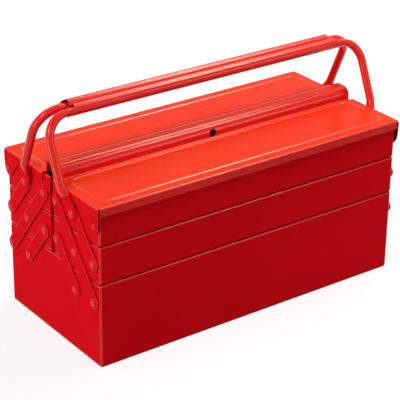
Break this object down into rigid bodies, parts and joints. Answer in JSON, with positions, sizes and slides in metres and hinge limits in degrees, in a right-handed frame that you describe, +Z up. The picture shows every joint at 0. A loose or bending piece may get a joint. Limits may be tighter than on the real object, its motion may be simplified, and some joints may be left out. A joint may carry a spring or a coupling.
{
  "type": "cantilever tool box",
  "caption": "Sheet steel tool box with trays that swing out to both sides on riveted arms, hinged lids under a ridge hood, and tube bail handles.",
  "frame": {"origin": "centre of the underside of the bottom box", "axes": "+X along the box to the right end, the front with the hooded lid faces -Y, +Z up"},
  "size_m": [0.4564, 0.2, 0.2826],
  "materials": {
    "body_enamel": "gloss",
    "lid_enamel": "gloss",
    "arm_enamel": "gloss",
    "rivet_enamel": "gloss",
    "handle_enamel": "gloss"
  },
  "bodies": {
    "base": {"bottom_box": "body_enamel", "base_rivets": "rivet_enamel", "base_washers": "arm_enamel"},
    "front_long_arms": {"front_left_long_arm": "arm_enamel", "front_right_long_arm": "arm_enamel"},
    "front_lower_arms": {"front_left_lower_arm": "arm_enamel", "front_right_lower_arm": "arm_enamel"},
    "front_upper_arms": {"front_left_upper_arm": "arm_enamel", "front_right_upper_arm": "arm_enamel"},
    "front_middle_tier": {"front_middle_tray": "body_enamel", "front_middle_dividers": "body_enamel", "front_middle_rivets": "rivet_enamel", "front_middle_washers": "arm_enamel"},
    "front_upper_tier": {"front_upper_tray": "body_enamel", "front_upper_dividers": "body_enamel", "front_upper_rivets": "rivet_enamel", "front_upper_washers": "arm_enamel", "front_handle_rivets": "rivet_enamel", "front_lid_rivets": "rivet_enamel", "front_lid_washers": "arm_enamel"},
    "front_lid_flap": {"front_lid": "lid_enamel"},
    "front_bail": {"front_handle": "handle_enamel", "front_grip_sleeve": "handle_enamel"},
    "rear_long_arms": {"rear_left_long_arm": "arm_enamel", "rear_right_long_arm": "arm_enamel"},
    "rear_lower_arms": {"rear_left_lower_arm": "arm_enamel", "rear_right_lower_arm": "arm_enamel"},
    "rear_upper_arms": {"rear_left_upper_arm": "arm_enamel", "rear_right_upper_arm": "arm_enamel"},
    "rear_middle_tier": {"rear_middle_tray": "body_enamel", "rear_middle_dividers": "body_enamel", "rear_middle_rivets": "rivet_enamel", "rear_middle_washers": "arm_enamel"},
    "rear_upper_tier": {"rear_upper_tray": "body_enamel", "rear_upper_dividers": "body_enamel", "rear_upper_rivets": "rivet_enamel", "rear_upper_washers": "arm_enamel", "rear_handle_rivets": "rivet_enamel", "rear_lid_rivets": "rivet_enamel", "rear_lid_washers": "arm_enamel"},
    "rear_lid_flap": {"rear_lid": "lid_enamel"},
    "rear_bail": {"rear_handle": "handle_enamel", "rear_grip_sleeve": "handle_enamel"}
  },
  "joints": [
    {"name": "front_open", "type": "hinge", "parent": "base", "child": "front_long_arms", "pos_m": [0, -0.088, 0.081], "axis": [1, 0, 0], "range_deg": [0, 77]},
    {"name": "front_middle_tray_level", "type": "hinge", "parent": "front_long_arms", "child": "front_middle_tier", "pos_m": [0, -0.0505, 0.128], "axis": [1, 0, 0], "range_deg": [-77, 0]},
    {"name": "front_upper_tray_level", "type": "hinge", "parent": "front_long_arms", "child": "front_upper_tier", "pos_m": [0, -0.013, 0.175], "axis": [1, 0, 0], "range_deg": [-77, 0]},
    {"name": "front_lower_arm_swing", "type": "hinge", "parent": "base", "child": "front_lower_arms", "pos_m": [0, -0.0505, 0.081], "axis": [1, 0, 0], "range_deg": [0, 77]},
    {"name": "front_upper_arm_swing", "type": "hinge", "parent": "front_middle_tier", "child": "front_upper_arms", "pos_m": [0, -0.088, 0.128], "axis": [1, 0, 0], "range_deg": [0, 77]},
    {"name": "front_lid_hinge", "type": "hinge", "parent": "front_upper_tier", "child": "front_lid_flap", "pos_m": [0, -0.0915, 0.176], "axis": [1, 0, 0], "range_deg": [0, 115]},
    {"name": "front_handle_hinge", "type": "hinge", "parent": "front_upper_tier", "child": "front_bail", "pos_m": [0, -0.0505, 0.175], "axis": [1, 0, 0], "range_deg": [0, 170]},
    {"name": "rear_open", "type": "hinge", "parent": "base", "child": "rear_long_arms", "pos_m": [0, 0.088, 0.081], "axis": [-1, 0, 0], "range_deg": [0, 77]},
    {"name": "rear_middle_tray_level", "type": "hinge", "parent": "rear_long_arms", "child": "rear_middle_tier", "pos_m": [0, 0.0505, 0.128], "axis": [-1, 0, 0], "range_deg": [-77, 0]},
    {"name": "rear_upper_tray_level", "type": "hinge", "parent": "rear_long_arms", "child": "rear_upper_tier", "pos_m": [0, 0.013, 0.175], "axis": [-1, 0, 0], "range_deg": [-77, 0]},
    {"name": "rear_lower_arm_swing", "type": "hinge", "parent": "base", "child": "rear_lower_arms", "pos_m": [0, 0.0505, 0.081], "axis": [-1, 0, 0], "range_deg": [0, 77]},
    {"name": "rear_upper_arm_swing", "type": "hinge", "parent": "rear_middle_tier", "child": "rear_upper_arms", "pos_m": [0, 0.088, 0.128], "axis": [-1, 0, 0], "range_deg": [0, 77]},
    {"name": "rear_lid_hinge", "type": "hinge", "parent": "rear_upper_tier", "child": "rear_lid_flap", "pos_m": [0, 0.0915, 0.176], "axis": [-1, 0, 0], "range_deg": [0, 115]},
    {"name": "rear_handle_hinge", "type": "hinge", "parent": "rear_upper_tier", "child": "rear_bail", "pos_m": [0, 0.0505, 0.175], "axis": [-1, 0, 0], "range_deg": [0, 170]}
  ],
  "couplings": [
    {"joint": "front_middle_tray_level", "follows": "front_open", "ratio": -1},
    {"joint": "front_upper_tray_level", "follows": "front_open", "ratio": -1},
    {"joint": "front_lower_arm_swing", "follows": "front_open", "ratio": 1},
    {"joint": "front_upper_arm_swing", "follows": "front_open", "ratio": 1},
    {"joint": "rear_middle_tray_level", "follows": "rear_open", "ratio": -1},
    {"joint": "rear_upper_tray_level", "follows": "rear_open", "ratio": -1},
    {"joint": "rear_lower_arm_swing", "follows": "rear_open", "ratio": 1},
    {"joint": "rear_upper_arm_swing", "follows": "rear_open", "ratio": 1}
  ]
}
